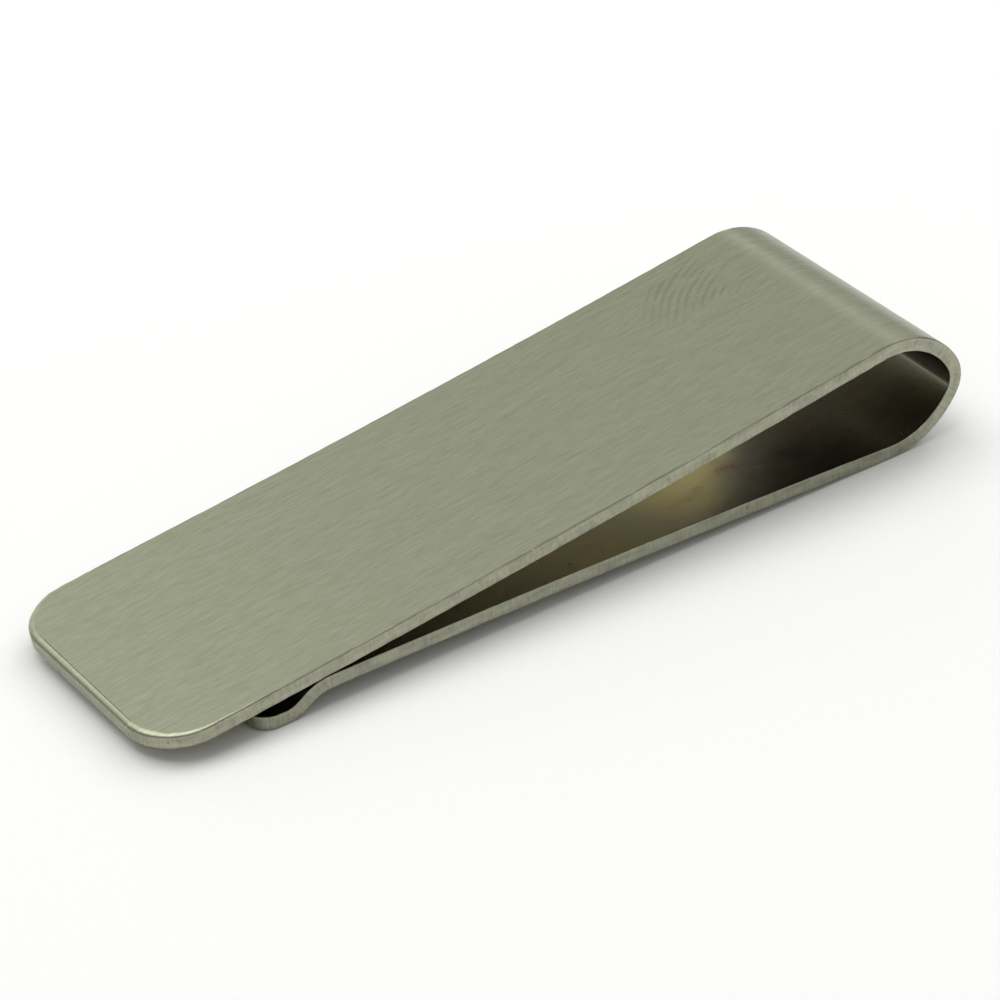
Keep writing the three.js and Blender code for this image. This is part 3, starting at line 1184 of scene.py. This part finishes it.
@dataclass(frozen=True)
class Viewpoint:
    """The camera: where it aims, from which side, and with how long a lens."""

    aim: tuple[float, float, float] = (0.0702 * MM, -0.3298 * MM, 2.0999 * MM)
    azimuth: float = 32.3952
    elevation: float = 33.4001
    roll: float = -3.7109
    distance: float = 222.54 * MM
    lens: float = 151.2
    sensor: float = 36.0
    sight: tuple[float, float] = (0.005, 20.0)

    def place(self) -> None:
        """Adds the camera and makes it the scene's."""
        a, e, r = (math.radians(v) for v in (self.azimuth, self.elevation, self.roll))
        level = Vector((math.cos(a), -math.sin(a), 0.0))
        lift = Vector((math.sin(a) * math.sin(e), math.cos(a) * math.sin(e), math.cos(e)))
        ahead = Vector((math.sin(a) * math.cos(e), math.cos(a) * math.cos(e), -math.sin(e)))
        right = level * math.cos(r) + lift * math.sin(r)
        up = lift * math.cos(r) - level * math.sin(r)
        spot = Vector(self.aim) - ahead * self.distance
        data = bpy.data.cameras.new("studio_camera")
        data.lens, data.sensor_width = self.lens, self.sensor
        data.clip_start, data.clip_end = self.sight
        data.dof.use_dof = False
        camera = bpy.data.objects.new("studio_camera", data)
        turn = Matrix((right, up, -ahead)).transposed().to_4x4()
        camera.matrix_world = Matrix.Translation(spot) @ turn
        bpy.context.scene.collection.objects.link(camera)
        bpy.context.scene.camera = camera


@dataclass(frozen=True)
class SoftBox:
    """A soft box: the way to it from the clip, how far off it hangs, its sides and its glow."""

    name: str
    azimuth: float
    elevation: float
    width: float
    height: float
    radiance: float
    reach: float = 0.8

    def hang(self) -> None:
        """Adds the soft box, facing the clip."""
        data = bpy.data.lights.new(self.name, "AREA")
        data.shape = "RECTANGLE"
        data.size, data.size_y = self.width, self.height
        data.energy = self.radiance * math.pi * self.width * self.height
        box = bpy.data.objects.new(self.name, data)
        around, up = math.radians(self.azimuth), math.radians(self.elevation)
        way = Vector((math.cos(up) * math.cos(around), math.cos(up) * math.sin(around), math.sin(up)))
        turn = way.to_track_quat("Z", "Y").to_matrix().to_4x4()
        box.matrix_world = Matrix.Translation(way * self.reach) @ turn
        bpy.context.scene.collection.objects.link(box)


@dataclass(frozen=True)
class Studio:
    """A pale floor under a dome, with large soft boxes to the right, behind and overhead."""

    floor_size: float = 3.0
    floor_colour: str = "#FAFAF8"
    paper_tooth: float = 0.4 * MM
    dome: float = 0.44
    boxes: tuple[SoftBox, ...] = (
        SoftBox("right_softbox", azimuth=14.0, elevation=46.0, width=0.5, height=0.6, radiance=1.9),
        SoftBox("overhead_softbox", azimuth=115.0, elevation=73.0, width=0.7, height=0.7,
                radiance=2.25),
        SoftBox("back_softbox", azimuth=80.0, elevation=14.0, width=0.9, height=0.36, radiance=0.9),
    )

    def build(self) -> None:
        """Adds the floor, the dome and the soft boxes."""
        self.lay_floor()
        self.hang_dome()
        for box in self.boxes:
            box.hang()
        bpy.context.scene.view_settings.view_transform = "Standard"

    def lay_floor(self) -> None:
        """Adds the floor, just under the clip."""
        floor_mesh = bpy.data.meshes.new("studio_floor")
        sheet = bmesh.new()
        bmesh.ops.create_grid(sheet, x_segments=12, y_segments=12, size=self.floor_size / 2)
        sheet.to_mesh(floor_mesh)
        sheet.free()
        material = bpy.data.materials.new("matt_white_floor")
        material.use_nodes = True
        tree = material.node_tree
        tree.nodes.clear()
        place = add_node(tree, "ShaderNodeTexCoord")
        tooth = add_node(tree, "ShaderNodeTexNoise", {
            "Vector": place.outputs["Object"], "Scale": 1 / self.paper_tooth,
        })
        level = add_node(tree, "ShaderNodeMapRange", {0: tooth.outputs[0], 3: 0.97, 4: 1.0})
        tone = add_node(tree, "ShaderNodeMix", {
            0: level.outputs[0], 6: (0.0, 0.0, 0.0, 1.0), 7: linear(self.floor_colour),
        }, data_type="RGBA")
        shader = add_node(tree, "ShaderNodeBsdfPrincipled", {
            "Base Color": tone.outputs[2], "Roughness": 0.9, "Specular IOR Level": 0.2,
        })
        add_node(tree, "ShaderNodeOutputMaterial", {"Surface": shader.outputs[0]})
        floor_mesh.materials.append(material)
        floor = bpy.data.objects.new("studio_floor", floor_mesh)
        bpy.context.scene.collection.objects.link(floor)

    def hang_dome(self) -> None:
        """Fills the shadows with a dim, even dome."""
        world = bpy.data.worlds.new("studio_dome")
        world.use_nodes = True
        tree = world.node_tree
        tree.nodes.clear()
        glow = add_node(tree, "ShaderNodeBackground", {
            "Color": (1.0, 1.0, 1.0, 1.0), "Strength": self.dome,
        })
        add_node(tree, "ShaderNodeOutputWorld", {"Surface": glow.outputs[0]})
        bpy.context.scene.world = world


def main() -> None:
    """Builds the clip in its studio."""
    logging.basicConfig(level=logging.INFO, format="%(name)s: %(message)s")
    Viewpoint().place()
    Studio().build()
    clip = MoneyClip()
    clip.hang(clip.build())
    LOG.info("boxes written")


if __name__ == "__main__":
    main()
